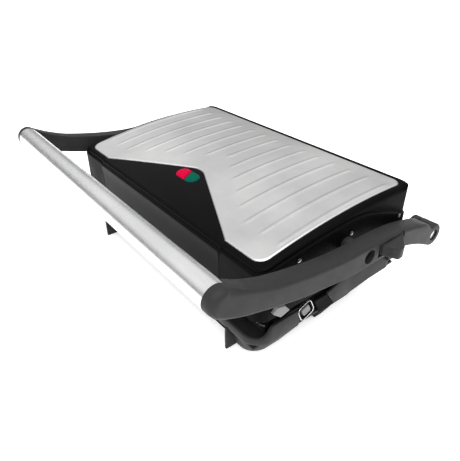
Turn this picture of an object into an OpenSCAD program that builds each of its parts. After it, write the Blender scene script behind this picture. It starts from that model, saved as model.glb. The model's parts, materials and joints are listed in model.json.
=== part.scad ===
// Panini press: a ribbed steel lid floats between two arms that are hinged to the rear of a grill base.
// +X is to the user's right, +Y to the rear hinge, +Z up. Sizes are in millimetres.
// Sub-parts are drawn about the middle of the lid, then moved: the origin is at the centre of the footprint.

/* [Lid] */
// Width of the lid housing
housing_w = 270; // [262:1:271]
// Depth of the lid housing
housing_d = 160; // [156:1:162]
// Height of the crown of the steel cover
crown_z = 102.6; // [102.2:0.2:104]
// Radius of the cover's curve from front to rear
crown_r = 540; // [520:10:600]
// Height of the lid's lower edge
skirt_z = 46; // [45.5:0.5:47]
// Wall of the moulded shells
wall = 2.5; // [2:0.1:2.8]
// Number of pressed ribs on the steel cover
rib_count = 15; // [9:2:15]

/* [Handle] */
// Distance between the outer faces of the two arms
arm_span = 313.6; // [312:0.2:316]
// Thickness of each arm
arm_t = 14; // [13:0.5:14]
// Diameter of the handle tube
tube_d = 17.8; // [16:0.2:18]
// Distance of the tube's axis in front of the lid's middle
tube_y = 124.7; // [122:0.1:128]
// Height of the tube's axis
tube_z = 104.2; // [102:0.1:106]
// Diameter of the studs that carry the lid
stud_d = 8; // [6:0.5:8]

/* [Hinge] */
// Distance of the hinge axis behind the lid's middle
hinge_y = 85.5; // [85:0.5:86]
// Height of the hinge axis
hinge_z = 63.5; // [62:0.5:64]
// Diameter of the hinge pins
hinge_d = 8; // [7:0.5:8]

/* [Base] */
// Height of the side walls' top edge
base_top = 39; // [38.5:0.5:39.5]
// Height of the front lip
lip_z = 30; // [29:0.5:31]
// Height of the side walls' lower edge
base_under = 23; // [22.5:0.5:23]
// Number of ribs on each grill plate
grill_ribs = 15; // [9:2:17]

/* [Hidden] */
$fn = 64;
run_gap = 0.05;           // radial clearance of a pin in its running bore
sheet = 1;                // thickness of the steel cover
seat_gap = 0.05;          // between the cover and the housing under it
half_w = housing_w / 2;
half_d = housing_d / 2;
arm_out = arm_span / 2;
arm_in = arm_out - arm_t;
tube_r = tube_d / 2;
cap_r = tube_r + 0.2;
tube_end = arm_out - 8.8;  // where the tube meets the arm's cap
spigot_r = 6;             // plug's end, held in the cap
crown_y = 45;             // where the cover's curve is highest
cover_front = -half_d + 6;
cover_rear = half_d - 4;
cover_half = half_w - 7.5;
cover_r = 9;
vee_half = 90;            // half width of the front panel
vee_peak = -28.5;         // where the panel's two edges would meet
vee_round = 19;
lens_y = -43;
lens_half = 13.2;
lens_r = 6.5;
pivot_y = -0.5;
pivot_z = 80;
stud_r = stud_d / 2;
pin_r = hinge_d / 2;
hub_r = 9.5;
base_half = half_w;
base_front = -half_d - 2.5;
base_rear = half_d - 4;
base_r = 15;
base_high = 44.2;         // side walls' top edge behind the middle legs
pedestal_rear = -46;
arch_z = 30.5;            // lower edge of the side wall round the latch
leg_x = 101.7;
mid_leg = [[-25.8, base_top], [-12, base_top], [-3, 26], [4, 0], [-4, 0]];
mid_leg_cut = [[-26.6, base_top + 1], [-12.6, base_top + 1], [-2.9, 26], [4.1, 0], [-4.1, 0]];
plate_half = 126;
plate_front = -66;
plate_rear = 66;
lower_top = 31;           // top of the lower plate's ribs
upper_low = 36;           // tips of the upper plate's ribs
stack_z = 57;             // height of the upper reflector, clamped between plate and lid
rib_h = 3;
deck_z = 21;
tray_half = 97;
tray_front = -71;
tray_rear = -37;
tray_top = 17;
lever_y = 13;
lever_len = 25.5;
lever_z = 74.8;
lever_h = 9.8;
lever_out = 167.5;
lever_travel = 3;
latch_y = -33.9;
latch_z = 34.8;
latch_tilt = 16;          // turn of the latch in its own plane
latch_lean = 15;          // lean of that plane from the vertical
inlet_z = 31.5;
skirt_holes = [[-47.2, 85.8], [5.4, 86.2], [65, 79.2]];
plate_posts = [for (x = [-100, 100], y = [-48, 50]) [x, y]];
cover_posts = [for (x = [-45, 45], y = [-15, 38]) [x, y]];
footprint = [(arm_out - lever_out) / 2, (tube_y + cap_r - hinge_y - hub_r) / 2, 0];

function dome(y) = crown_z - (y - crown_y) * (y - crown_y) / (2 * crown_r);
function steps(a, b, n) = [for (i = [0 : n]) a + (b - a) * i / n];
function reversed(list) = [for (i = [len(list) - 1 : -1 : 0]) list[i]];
function arc(cx, cy, r, a0, a1, n) = [for (a = steps(a0, a1, n)) [cx + r * cos(a), cy + r * sin(a)]];
function dome_line(y0, y1, drop, n = 20) = [for (y = steps(y0, y1, n)) [y, dome(y) - drop]];
function rib_front(x) = max(-57, -3 - 0.62 * abs(x));

module placed() { translate(footprint) children(); }
module both_sides() {
    children();
    mirror([1, 0, 0]) children();
}
module side_slice(x0, x1, points) {
    translate([x0, 0, 0]) rotate([90, 0, 90]) linear_extrude(x1 - x0) polygon(points);
}
module x_rod(x0, x1, y, z, r) { translate([x0, y, z]) rotate([0, 90, 0]) cylinder(r = r, h = x1 - x0); }
module z_rod(x, y, z0, z1, r) { translate([x, y, z0]) cylinder(r = r, h = z1 - z0); }
module block(low, high) { translate(low) cube(high - low); }
module round_rect(x0, x1, y0, y1, r) {
    translate([x0 + r, y0]) square([x1 - x0 - 2 * r, y1 - y0]);
    translate([x0, y0 + r]) square([x1 - x0, y1 - y0 - 2 * r]);
    for (x = [x0 + r, x1 - r], y = [y0 + r, y1 - r]) translate([x, y]) circle(r);
}
module slab(half, y0, y1, z0, z1, r) {
    translate([0, 0, z0]) linear_extrude(z1 - z0) round_rect(-half, half, y0, y1, r);
}
module frame_ring(half, y0, y1, z0, z1, r, t) {
    difference() {
        slab(half, y0, y1, z0, z1, r);
        slab(half - t, y0 + t, y1 - t, z0 - 1, z1 + 1, max(r - t, 1));
    }
}

// ---- Lid ----
module lid_profile(inset) {
    front = -half_d + inset;
    rear = half_d - inset;
    low = inset > 0 ? skirt_z - 1 : skirt_z;
    drop = sheet + seat_gap + inset;
    shoulder = [[front, low], [front, 82], [front + 1.2, 85.6 - inset], [front + 3.2, 87.6 - inset]];
    back = inset > 0
        ? [[rear - 1.2, dome(rear) - 5 - inset], [rear, dome(rear) - 9 - inset], [rear, low]]
        : [[cover_rear + 0.1, dome(cover_rear) - drop], [cover_rear + 0.1, dome(cover_rear)],
            [rear - 1, dome(rear)], [rear, dome(rear) - 1], [rear, low]];
    side_slice(-half_w, half_w,
        concat(shoulder, dome_line(cover_front, cover_rear - 1, drop), back));
}
module vee(grow, front) {
    slope = atan((vee_peak - cover_front) / vee_half);
    r = vee_round + grow;
    half = vee_half + grow;
    centre = vee_peak - vee_round / cos(slope);
    translate([0, 0, skirt_z]) linear_extrude(70)
        polygon(concat([[half, front], [half, cover_front]], arc(0, centre, r, 90 - slope, 90 + slope, 10),
            [[-half, cover_front], [-half, front]]));
}
module panel_skin(y_end, out, t) {
    outer = [[-half_d - out, skirt_z + 2], [-half_d - out, 82.3], [-half_d + 1.2 - out, 86.1],
        [-half_d + 3.4, 88.7]];
    inner = [[-half_d + 3.8, 88.7 - t], [-half_d + 1.2 + t - out, 85.5], [-half_d - out + t, 82.3],
        [-half_d - out + t, skirt_z + 2]];
    side_slice(-half_w, half_w, concat(outer, dome_line(cover_front, y_end, 0, 8),
        reversed(dome_line(cover_front, y_end, t, 8)), inner));
}
module lens_well(grow) {
    straight = lens_half - lens_r;
    translate([0, lens_y, crown_z - 14]) linear_extrude(18) {
        square([2 * straight, 2 * (lens_r + grow)], center = true);
        for (x = [-straight, straight]) translate([x, 0]) circle(lens_r + grow);
    }
}
module top_shell() {
    color([0.06, 0.06, 0.065]) placed() difference() {
        union() {
            difference() {
                intersection() {
                    slab(half_w, -half_d, half_d, skirt_z, crown_z + 5, 10);
                    lid_profile(0);
                }
                intersection() {
                    slab(half_w - wall, -half_d + wall, half_d - wall, skirt_z - 2, crown_z, 10 - wall);
                    lid_profile(wall);
                }
            }
            both_sides() x_rod(half_w - 14, half_w - 1, pivot_y, pivot_z, 8);
            for (p = plate_posts) z_rod(p[0], p[1], stack_z + 0.8, dome(p[1]) - wall, 4);
        }
        both_sides() x_rod(half_w - 15, half_w + 1, pivot_y, pivot_z, stud_r + run_gap);
        intersection() {
            panel_skin(-20, 0.9, 1.5);
            vee(0.1, -half_d - 5);
        }
        lens_well(0);
        for (p = plate_posts) z_rod(p[0], p[1], 56, 74, 1.5);
        both_sides() for (p = skirt_holes) x_rod(half_w - 5, half_w + 1, p[0], p[1], 1.2);
        translate([half_w - 5, -65, 51.5]) cube([6, 5, 4]);
    }
}
module cover_plan() {
    difference() {
        slab(cover_half, cover_front, cover_rear, skirt_z, crown_z + 10, cover_r);
        vee(0.4, cover_front - 5);
    }
}
module steel_cover() {
    pitch = 2 * 121.8 / (rib_count - 1);
    color([0.72, 0.72, 0.73]) placed() {
        intersection() {
            cover_plan();
            side_slice(-half_w, half_w, concat(dome_line(cover_front - 1, cover_rear + 1, 0),
                reversed(dome_line(cover_front - 1, cover_rear + 1, sheet))));
        }
        intersection() {
            for (i = [0 : rib_count - 1]) translate([-121.8 + pitch * i, 0, 0])
                translate([0, 0, skirt_z]) linear_extrude(70)
                    round_rect(-1.6, 1.6, rib_front(-121.8 + pitch * i), 61, 1.5);
            side_slice(-half_w, half_w, concat(dome_line(-58, 62, -0.7), reversed(dome_line(-58, 62, sheet))));
        }
    }
}
module front_panel() {
    color([0.03, 0.03, 0.035]) placed() difference() {
        intersection() {
            panel_skin(-20, 0.8, 1.4);
            vee(0, -half_d - 5);
        }
        lens_well(0);
    }
}
module lens(side) {
    placed() intersection() {
        lens_well(-0.15);
        side_slice(side > 0 ? 0.1 : -lens_half, side > 0 ? lens_half : -0.1,
            concat(dome_line(lens_y - 8, lens_y + 8, -0.8, 4), reversed(dome_line(lens_y - 8, lens_y + 8, 4, 4))));
    }
}
module lens_red() { color([0.75, 0.02, 0.2]) lens(-1); }
module lens_green() { color([0.02, 0.38, 0.28]) lens(1); }
module lamps() {
    color([0.95, 0.75, 0.5]) placed() for (x = [-6.5, 6.5])
        translate([x, lens_y, 83.5]) {
            cylinder(r = 2.5, h = 5);
            translate([0, 0, 5]) sphere(r = 2.5);
        }
}
module lamp_holder() {
    color([0.9, 0.9, 0.88]) placed() difference() {
        union() {
            block([-15, lens_y - 6, 80], [15, lens_y + 6, 86]);
            both_sides() block([14.6, lens_y - 4, 80], [19, lens_y + 4, 90.8]);
        }
        for (x = [-6.5, 6.5]) z_rod(x, lens_y, 83.5, 90, 2.5);
    }
}
module grill(z_plate, z_tips, sign) {
    pitch = 2 * (plate_half - 8) / (grill_ribs - 1);
    for (i = [0 : grill_ribs - 1]) translate([-plate_half + 8 + pitch * i, plate_rear - 6, 0])
        rotate([90, 0, 0]) linear_extrude(plate_rear - plate_front - 12)
            polygon([[-2.6, z_plate], [-1.4, z_tips], [1.4, z_tips], [2.6, z_plate]]);
}
module corner_lugs(face) {
    low = upper_low - 4;
    intersection() {
        frame_ring(plate_half, plate_front, plate_rear, low, face + 0.1, 8, 2.5);
        both_sides() translate([0, plate_front + 13, 0]) rotate([90, 0, 0]) linear_extrude(14)
            polygon([[plate_half - 17, face + 1], [plate_half - 9, low], [plate_half + 1, low],
                [plate_half + 1, face + 1]]);
    }
}
module upper_plate() {
    face = upper_low + rib_h;
    color([0.12, 0.12, 0.12]) placed() difference() {
        union() {
            slab(plate_half, plate_front, plate_rear, face, face + 3, 8);
            frame_ring(plate_half, plate_front, plate_rear, face, 55, 8, 2.5);
            corner_lugs(face);
            grill(face + 0.5, upper_low);
            for (p = plate_posts) z_rod(p[0], p[1], face + 2, stack_z, 4);
        }
        for (p = plate_posts) z_rod(p[0], p[1], face + 6, 61, 1.5);
    }
}
module heater(z) {
    run = 62;
    bend = 38;
    both_sides() {
        translate([run, 0, z]) rotate([0, 0, -90]) rotate_extrude(angle = 180) translate([bend, 0]) circle(3);
        for (y = [-bend, bend]) x_rod(16, run, y, z, 3);
    }
    x_rod(-17, 17, -bend, z, 3);
}
module upper_heater() { color([0.35, 0.35, 0.36]) placed() heater(upper_low + rib_h + 6.2); }
module reflector(z) {
    difference() {
        union() {
            slab(115, -58, 60, z, z + 0.8, 6);
            frame_ring(115, -58, 60, z, z + 3, 6, 0.8);
        }
        for (p = plate_posts) z_rod(p[0], p[1], z - 5, z + 5, 1.5);
    }
}
module upper_reflector() { color([0.75, 0.76, 0.77]) placed() reflector(stack_z); }
module plate_studs() {
    color([0.6, 0.6, 0.6]) placed()
        for (p = plate_posts) z_rod(p[0], p[1], upper_low + rib_h + 6, 74, 1.5);
}
module thermostat() {
    color([0.85, 0.8, 0.7]) placed() {
        z_rod(0, 10, upper_low + rib_h + 3, 56.5, 8);
        block([-11, 8, 51], [11, 12, 53]);
    }
}
module thermal_fuse() { color([0.8, 0.65, 0.3]) placed() x_rod(-10, 10, -12, stack_z + 3, 2.2); }
module screw_x(x, y, z, r, len) {
    x_rod(x - len, x, y, z, 1.2);
    x_rod(x, x + 0.9, y, z, r);
}
module skirt_screws() {
    color([0.5, 0.5, 0.5]) placed() both_sides()
        for (p = skirt_holes) screw_x(half_w, p[0], p[1], 2.2, 4.5);
}
module latch_catch() {
    color([0.62, 0.62, 0.62]) placed() {
        side_slice(half_w, half_w + 2.6, [[-70, 53.6], [-66.2, 57], [-59, 55], [-54, 48.6],
            [-62.3, 46.6], [-68, 51.2]]);
        block([half_w - 6, -64.8, 51.7], [half_w + 0.5, -60.2, 55.3]);
        side_slice(half_w - 8, half_w - 5.2, [[-67, 56], [-67, 28.2], [-57, 28.2], [-57, 30], [-62, 30],
            [-62, 38.2], [-57, 38.2], [-57, 56]]);
    }
}

// ---- Handle ----
arm_top = [[-114, 108.6], [-107, 105], [-98, 101.5], [-87, 97.9], [-70, 93.6], [-47, 90], [-23, 88], [3, 88],
    [26, 87.6], [37, 86.4], [54, 83.2], [70, 79.4], [80, 73.6]];
arm_low = [[83, 54.2], [80, 55.6], [65, 62.6], [43, 69.4], [20, 71.4], [0, 71], [-12, 70.6], [-27, 71.6],
    [-45, 74], [-62, 76.3], [-79, 79.9], [-105, 86.8], [-118, 90.9], [-126, 93.8], [-131, 97.4]];
module arm() {
    cap = arc(-tube_y, tube_z, cap_r, 205, 73, 16);
    hub = arc(hinge_y, hinge_z, hub_r, 110, -105, 12);
    difference() {
        union() {
            side_slice(arm_in, arm_out, concat(cap, arm_top, hub, arm_low));
            x_rod(half_w + 0.6, arm_in + 1, pivot_y, pivot_z, 5.8);
        }
        x_rod(half_w, arm_out + 1, pivot_y, pivot_z, stud_r);
        x_rod(arm_out - 5, arm_out + 1, pivot_y, pivot_z, 5.5);
        x_rod(arm_in - 1, arm_out + 1, hinge_y, hinge_z, pin_r + run_gap);
        x_rod(arm_out - 5, arm_out + 1, hinge_y, hinge_z, 4.9);
        x_rod(arm_in - 1, tube_end, -tube_y, tube_z, tube_r + 0.5);
        x_rod(tube_end - 1, tube_end + 5, -tube_y, tube_z, spigot_r + 0.05);
        z_rod(tube_end + 2.6, -tube_y, 90, tube_z, 1.5);
        z_rod(tube_end + 2.6, -tube_y, 90, 96, 2.4);
    }
}
module left_arm() { color([0.27, 0.27, 0.28]) placed() mirror([1, 0, 0]) arm(); }
module right_arm() {
    color([0.27, 0.27, 0.28]) placed() difference() {
        arm();
        block([arm_out - 8, lever_y - lever_travel - 0.6, lever_z - 0.5],
            [arm_out + 1, lever_y + lever_len + 0.4, lever_z + lever_h + 0.9]);
    }
}
module handle_tube() {
    color([0.82, 0.82, 0.83]) placed() difference() {
        x_rod(-tube_end, tube_end, -tube_y, tube_z, tube_r);
        x_rod(-tube_end - 1, tube_end + 1, -tube_y, tube_z, tube_r - 1.2);
    }
}
module tube_plugs() {
    color([0.2, 0.2, 0.2]) placed() both_sides() difference() {
        union() {
            x_rod(tube_end - 22, tube_end, -tube_y, tube_z, tube_r - 1.2);
            x_rod(tube_end - 1, tube_end + 5, -tube_y, tube_z, spigot_r);
        }
        z_rod(tube_end + 2.6, -tube_y, tube_z - 10, tube_z, 1.5);
    }
}
module tube_screws() {
    color([0.6, 0.6, 0.6]) placed() both_sides() {
        z_rod(tube_end + 2.6, -tube_y, 96, tube_z, 1.5);
        z_rod(tube_end + 2.6, -tube_y, 94.2, 96, 2.4);
    }
}
module pivot_studs() {
    color([0.35, 0.35, 0.36]) placed() both_sides() {
        x_rod(half_w - 13, arm_out - 5, pivot_y, pivot_z, stud_r);
        x_rod(arm_out - 5, arm_out - 3, pivot_y, pivot_z, 5.2);
    }
}
module release_lever() {
    z1 = lever_z + lever_h;
    color([0.27, 0.27, 0.28]) placed() {
        block([arm_out - 7, lever_y, lever_z], [arm_out - 0.5, lever_y + lever_len, z1]);
        translate([0, 0, lever_z]) linear_extrude(lever_h) polygon([[arm_out - 0.6, lever_y + 0.5],
            [lever_out, lever_y + 5], [lever_out, lever_y + 10], [arm_out - 0.6, lever_y + lever_len - 0.5]]);
    }
}
module lever_spring() {
    color([0.7, 0.7, 0.7]) placed()
        block([arm_out - 7.6, lever_y + 3, lever_z + 2], [arm_out - 7.2, lever_y + 22, lever_z + 8]);
}

// ---- Base ----
module base_body(inset) {
    top = base_under + 2;
    hull() {
        slab(base_half - inset, base_front + inset, base_rear - inset, top, top + 0.1, base_r - inset);
        slab(120 - inset, base_front + 10.5 + inset, base_rear - 14 - inset, 0, 0.1, 10 - inset);
    }
    slab(base_half - inset, base_front + inset, base_rear - inset, top, base_high, base_r - inset);
}
module base_side() {
    wall_top = [[base_front - 1, lip_z], [-74, lip_z], [-70.5, 33], [-68, 37.4], [-66, base_top],
        [-12, base_top], [6, base_high], [30, base_high], [50, 43.6], [base_rear + 1, 42.6]];
    under = [[base_rear + 1, base_under + 3], [70, base_under], [pedestal_rear + 5, base_under],
        [pedestal_rear, 0], [base_front - 1, 0]];
    side_slice(-base_half - 1, base_half + 1, concat(wall_top, under));
}
module latch_place() {
    translate([base_half - 1.2, latch_y, latch_z])
        rotate([0, -latch_lean, 0]) rotate([latch_tilt, 0, 0]) children();
}
module hinge_ear() {
    difference() {
        union() {
            x_rod(half_w + 1.2, arm_in - 0.5, hinge_y, hinge_z, hub_r);
            side_slice(half_w + 1.2, arm_in - 0.5, [[60.5, 43.8], [60.5, 50], [77, 68], [88, 54.4],
                [77, 51], [69.5, 49.5], [69.5, 41], [64.5, 41]]);
            block([half_w - 6, 60, 38], [half_w + 2.5, 69.5, 42.6]);
        }
        x_rod(half_w, arm_in + 1, hinge_y, hinge_z, pin_r);
    }
}
shelf_low = [[9, base_under], [17, 26.3], [40, 28.6], [base_rear - 1.5, 29.2]];
shelf_top = [[base_rear - 1.5, 31.2], [40, 30.6], [17, 28.3], [9, base_under + 2]];
module base_shell() {
    color([0.27, 0.27, 0.28]) placed() difference() {
        union() {
            intersection() {
                difference() {
                    base_body(0);
                    base_body_hollow();
                }
                base_side();
            }
            intersection() {
                base_body(0);
                both_sides() {
                    side_slice(128.3, half_w, concat(shelf_low, shelf_top));
                    side_slice(126.5, 128.4, concat([[9, base_under], [base_rear - 1.5, base_under]], shelf_top));
                    block([leg_x, base_front, 0], [119, -74, deck_z - 2]);
                }
            }
            both_sides() {
                block([leg_x - 1.5, base_front, 0], [leg_x + 1, pedestal_rear - 1, deck_z + 0.5]);
                hinge_ear();
                block([leg_x - 4.5, -80, 11.2], [leg_x - 1.4, pedestal_rear - 1, 13.2]);
            }
        }
        block([-leg_x + 1.5, base_front - 1, -1], [leg_x - 1.5, -67, deck_z - 2]);
        z_rod(0, -66.5, 15, 25, 3);
        both_sides() {
            block([leg_x + 1, base_front - 1, -1], [117.5, -76, deck_z - 2]);
            side_slice(128.4, base_half + 1, concat(shelf_low, [[base_rear + 1, 29.2],
                [base_rear + 1, base_under - 2], [9, base_under - 2]]));
        }
        both_sides() side_slice(130, base_half + 1, [[-41.4, base_under - 3], [-39.6, arch_z], [-19, arch_z],
            [-14, base_under - 3]]);
        both_sides() side_slice(base_half - wall - 0.1, base_half + 1, mid_leg_cut);
        latch_place() cube([16, 15.2, 11.2], center = true);
        block([130, -29.2, arch_z - 1], [base_half + 1, -21, base_top + 1]);
        block([-16, base_rear - 4, inlet_z - 3.5], [16, base_rear + 2, inlet_z + 3.5]);
    }
}
module base_body_hollow() {
    slab(base_half - wall, base_front + wall, base_rear - wall, deck_z + 4, base_high + 1, base_r - wall);
    slab(base_half - 6, base_front + wall, -63, deck_z, base_high + 1, 6);
    slab(110, -31, 54, -1, base_high + 1, 4);
    intersection() {
        base_body(wall);
        union() {
            block([-200, base_front, -1], [200, -60.5, deck_z - 2]);
            block([-200, -60.6, -1], [200, base_rear, base_under]);
        }
    }
}
module bottom_cover() {
    color([0.05, 0.05, 0.05]) placed() difference() {
        union() {
            difference() {
                slab(112, -33, 56, 8, base_under, 8);
                slab(110, -31, 54, 10, base_under + 1, 6);
            }
            frame_ring(116, -35.5, 60, base_under - 2, base_under, 8, 6);
            for (p = cover_posts) z_rod(p[0], p[1], 9, 17.6, 3.4);
            both_sides() {
                intersection() {
                    side_slice(108, 136, mid_leg);
                    translate([0, 20, 0]) rotate([90, 0, 0]) linear_extrude(50)
                        polygon([[111, 0], [111, base_under], [base_half - wall, base_under],
                            [base_half - wall, base_top], [base_half, base_top],
                            [base_half, base_under + 2], [120, 0]]);
                }
                block([100, 40, 3], [111.5, 52, 12]);
            }
        }
        for (p = cover_posts) z_rod(p[0], p[1], 7, 18, 1.75);
    }
}
module lower_plate() {
    face = lower_top - rib_h;
    color([0.12, 0.12, 0.12]) placed() difference() {
        union() {
            slab(plate_half, plate_front, plate_rear, face - 3, face, 8);
            difference() {
                frame_ring(plate_half, plate_front, plate_rear, face - 1, lower_top, 8, 2.5);
                block([-plate_half - 1, plate_front - 1, face], [plate_half + 1, -50, lower_top + 1]);
            }
            grill(face - 0.5, lower_top);
            for (p = cover_posts) z_rod(p[0], p[1], face - 8, face - 2, 3.5);
        }
        for (p = cover_posts) z_rod(p[0], p[1], face - 9, face - 3.4, 1.7);
    }
}
module lower_heater() {
    color([0.35, 0.35, 0.36]) placed() translate([0, 11.5, 0]) heater(lower_top - rib_h - 6);
}
module lower_reflector() {
    color([0.75, 0.76, 0.77]) placed() difference() {
        slab(109.5, -30.5, 53.5, 17.6, 18.4, 6);
        for (p = cover_posts) z_rod(p[0], p[1], 10, 20, 2.2);
    }
}
module hinge_pins() {
    color([0.75, 0.75, 0.76]) placed() both_sides()
        x_rod(half_w + 1.5, arm_out - 2.5, hinge_y, hinge_z, pin_r);
}
module hinge_clips() {
    color([0.8, 0.8, 0.8]) placed() both_sides() difference() {
        x_rod(arm_out - 4.6, arm_out - 3.8, hinge_y, hinge_z, 4.8);
        x_rod(arm_out - 6, arm_out - 2, hinge_y, hinge_z, pin_r);
    }
}
module rear_feet() {
    color([0.04, 0.04, 0.04]) placed() both_sides() {
        z_rod(105.2, 46, 0, 3, 5);
    }
}
module base_screws() {
    color([0.6, 0.6, 0.6]) placed() for (p = cover_posts) {
        z_rod(p[0], p[1], 6.4, 8, 3.2);
        z_rod(p[0], p[1], 8, lower_top - rib_h - 3.4, 1.7);
    }
}
module terminal_block() {
    color([0.9, 0.9, 0.86]) placed() difference() {
        block([-20, 34, 10], [20, 48, 17]);
        for (x = [-12, 0, 12]) z_rod(x, 41, 12, 18, 2);
    }
}
module cord_inlet() {
    color([0.05, 0.05, 0.05]) placed() difference() {
        union() {
            block([-15.8, base_rear - 3.6, inlet_z - 3.3], [15.8, base_rear + 3, inlet_z + 3.3]);
            block([-19, base_rear, inlet_z - 5.5], [19, base_rear + 1.5, inlet_z + 5.5]);
        }
        translate([0, base_rear + 5, inlet_z]) rotate([90, 0, 0]) cylinder(r = 2.6, h = 12);
    }
}
module latch_bezel() {
    color([0.8, 0.8, 0.8]) placed() latch_place() difference() {
        cube([2.8, 15, 11], center = true);
        cube([6, 11.6, 7.6], center = true);
    }
}
module latch_slide() {
    color([0.6, 0.6, 0.6]) placed() {
        latch_place() translate([-0.6, 0, 0.2]) cube([4.4, 8.2, 5.6], center = true);
        block([half_w - 4.6, -59.4, 33.2], [half_w - 2.9, -31, 35.7]);
    }
}
module drip_tray() {
    color([0.08, 0.08, 0.08]) placed() {
        difference() {
            block([-tray_half + 2, tray_front, 2], [tray_half - 2, tray_rear, tray_top]);
            block([-tray_half + 4, tray_front + 2, 4], [tray_half - 4, tray_rear - 2, tray_top + 1]);
        }
        both_sides() block([tray_half - 2.1, tray_front + 2, 13.4], [leg_x - 2.5, tray_rear, tray_top]);
    }
}
module terminal_screws() {
    color([0.75, 0.7, 0.4]) placed() for (x = [-12, 0, 12]) z_rod(x, 41, 12, 17.4, 2);
}

top_shell();
steel_cover();
front_panel();
lens_red();
lens_green();
lamps();
lamp_holder();
upper_plate();
upper_heater();
upper_reflector();
thermostat();
thermal_fuse();
skirt_screws();
latch_catch();
left_arm();
right_arm();
handle_tube();
tube_plugs();
tube_screws();
pivot_studs();
release_lever();
lever_spring();
base_shell();
bottom_cover();
lower_plate();
lower_heater();
lower_reflector();
hinge_pins();
hinge_clips();
rear_feet();
base_screws();
terminal_block();
cord_inlet();
latch_bezel();
latch_slide();
drip_tray();
terminal_screws();
plate_studs();
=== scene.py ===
import json
import math

import bmesh
import bpy
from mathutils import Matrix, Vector


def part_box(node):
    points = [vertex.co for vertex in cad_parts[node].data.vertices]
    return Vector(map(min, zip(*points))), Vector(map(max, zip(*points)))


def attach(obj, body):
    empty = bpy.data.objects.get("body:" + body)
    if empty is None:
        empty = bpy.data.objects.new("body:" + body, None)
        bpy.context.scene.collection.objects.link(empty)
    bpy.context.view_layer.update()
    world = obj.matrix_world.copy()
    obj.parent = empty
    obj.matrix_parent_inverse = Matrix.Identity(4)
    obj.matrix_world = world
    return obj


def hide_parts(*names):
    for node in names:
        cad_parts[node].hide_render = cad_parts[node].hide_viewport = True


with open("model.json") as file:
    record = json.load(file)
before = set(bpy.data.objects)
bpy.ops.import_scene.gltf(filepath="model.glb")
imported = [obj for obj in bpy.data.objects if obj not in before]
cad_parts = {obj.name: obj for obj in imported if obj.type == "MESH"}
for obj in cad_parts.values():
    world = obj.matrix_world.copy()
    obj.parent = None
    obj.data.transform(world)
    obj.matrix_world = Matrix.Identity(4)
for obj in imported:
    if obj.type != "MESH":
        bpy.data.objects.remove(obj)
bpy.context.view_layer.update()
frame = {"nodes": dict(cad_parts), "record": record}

MM = 0.001
lid_low, lid_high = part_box("top_shell")
# The shapes below are written in millimetres about the middle of the lid, with Z 0 on the floor.
LID_CENTRE = Vector(((lid_low.x + lid_high.x) / 2, (lid_low.y + lid_high.y) / 2, 0))
HALF_W = (lid_high.x - lid_low.x) / 2 / MM
HALF_D = (lid_high.y - lid_low.y) / 2 / MM
SKIRT_Z = lid_low.z / MM


def place(p):
    return LID_CENTRE + Vector(p) * MM


def lerp(a, b, t):
    return a + (b - a) * t


def steps(a, b, n):
    return [lerp(a, b, i / n) for i in range(n + 1)]


def smooth(t):
    t = min(max(t, 0.0), 1.0)
    return t * t * (3 - 2 * t)


def through(points, x):
    """Smooth curve through the points, by x."""
    if x <= points[0][0]:
        return points[0][1]
    if x >= points[-1][0]:
        return points[-1][1]
    i = 0
    while points[i + 1][0] < x:
        i += 1
    (x0, y0), (x1, y1) = points[i], points[i + 1]
    before = points[i - 1] if i else points[i]
    after = points[i + 2] if i + 2 < len(points) else points[i + 1]
    m0 = (y1 - before[1]) / (x1 - before[0])
    m1 = (after[1] - y0) / (after[0] - x0)
    h = x1 - x0
    t = (x - x0) / h
    return ((2 * t**3 - 3 * t**2 + 1) * y0 + (t**3 - 2 * t**2 + t) * h * m0
            + (3 * t**2 - 2 * t**3) * y1 + (t**3 - t**2) * h * m1)


# ---------------------------------------------------------------- materials

def new_material(name):
    m = bpy.data.materials.new(name)
    m.use_nodes = True
    return m, m.node_tree.nodes, m.node_tree.links, m.node_tree.nodes["Principled BSDF"]


def coords(nodes, links, scale):
    where = nodes.new("ShaderNodeTexCoord")
    mapping = nodes.new("ShaderNodeMapping")
    mapping.inputs["Scale"].default_value = scale
    links.new(where.outputs["Object"], mapping.inputs["Vector"])
    return mapping.outputs["Vector"]


def noise(nodes, links, scale, freq, detail=4, rough=0.6):
    n = nodes.new("ShaderNodeTexNoise")
    n.inputs["Scale"].default_value = freq
    n.inputs["Detail"].default_value = detail
    n.inputs["Roughness"].default_value = rough
    links.new(coords(nodes, links, scale), n.inputs["Vector"])
    return n.outputs["Fac"]


def ramp(nodes, links, source, low, high):
    """Maps a noise value to the range from low to high, as a number or a colour."""
    n = nodes.new("ShaderNodeMapRange")
    n.inputs["From Min"].default_value = 0.3
    n.inputs["From Max"].default_value = 0.7
    links.new(source, n.inputs["Value"])
    if isinstance(low, tuple):
        mix = nodes.new("ShaderNodeMix")
        mix.data_type = "RGBA"
        mix.inputs["A"].default_value = (*low, 1)
        mix.inputs["B"].default_value = (*high, 1)
        links.new(n.outputs["Result"], mix.inputs["Factor"])
        return mix.outputs["Result"]
    n.inputs["To Min"].default_value = low
    n.inputs["To Max"].default_value = high
    return n.outputs["Result"]


def bump(nodes, links, shader, source, strength, distance):
    n = nodes.new("ShaderNodeBump")
    n.inputs["Strength"].default_value = strength
    n.inputs["Distance"].default_value = distance
    links.new(source, n.inputs["Height"])
    links.new(n.outputs["Normal"], shader.inputs["Normal"])


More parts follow.
